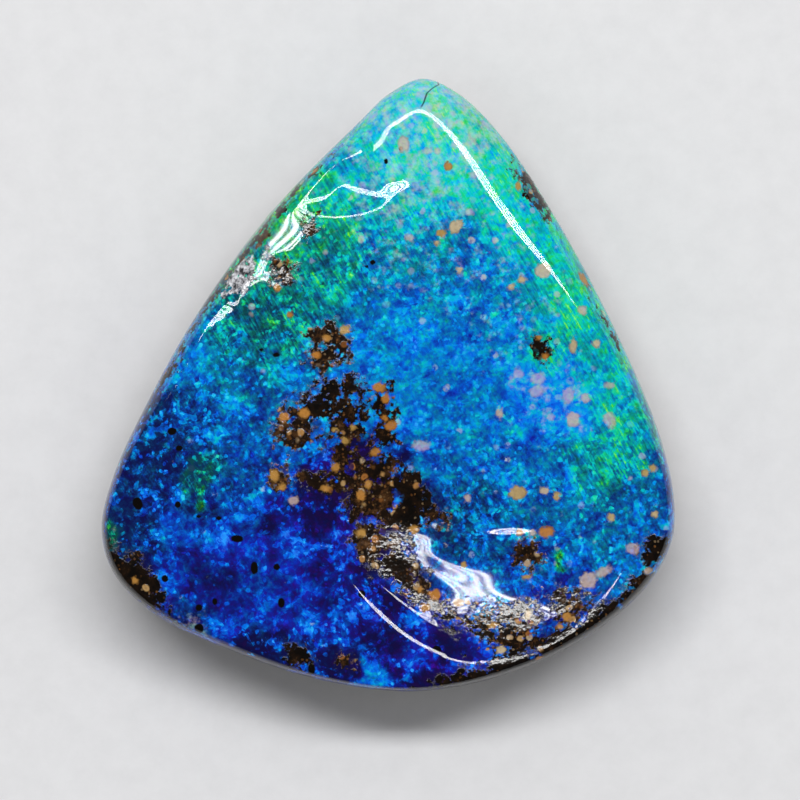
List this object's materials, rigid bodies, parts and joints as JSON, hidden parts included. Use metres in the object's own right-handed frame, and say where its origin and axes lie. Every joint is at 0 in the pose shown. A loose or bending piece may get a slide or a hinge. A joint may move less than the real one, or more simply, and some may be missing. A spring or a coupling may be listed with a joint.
{
  "type": "polished boulder opal",
  "caption": "Polished freeform boulder opal, a rounded triangular stone with a hollowed, domed face and a flat back, for display or setting.",
  "frame": {"origin": "middle of the flat ground back, on the surface that the stone lies on", "axes": "+Z out of the polished face, +Y towards the narrow apex, +X to the right seen from above"},
  "size_m": [0.0206, 0.022, 0.0047],
  "materials": {
    "opal": "polished, blue to green opal with dark ironstone"
  },
  "bodies": {
    "root": {"boulder_opal": "opal"}
  },
  "joints": []
}
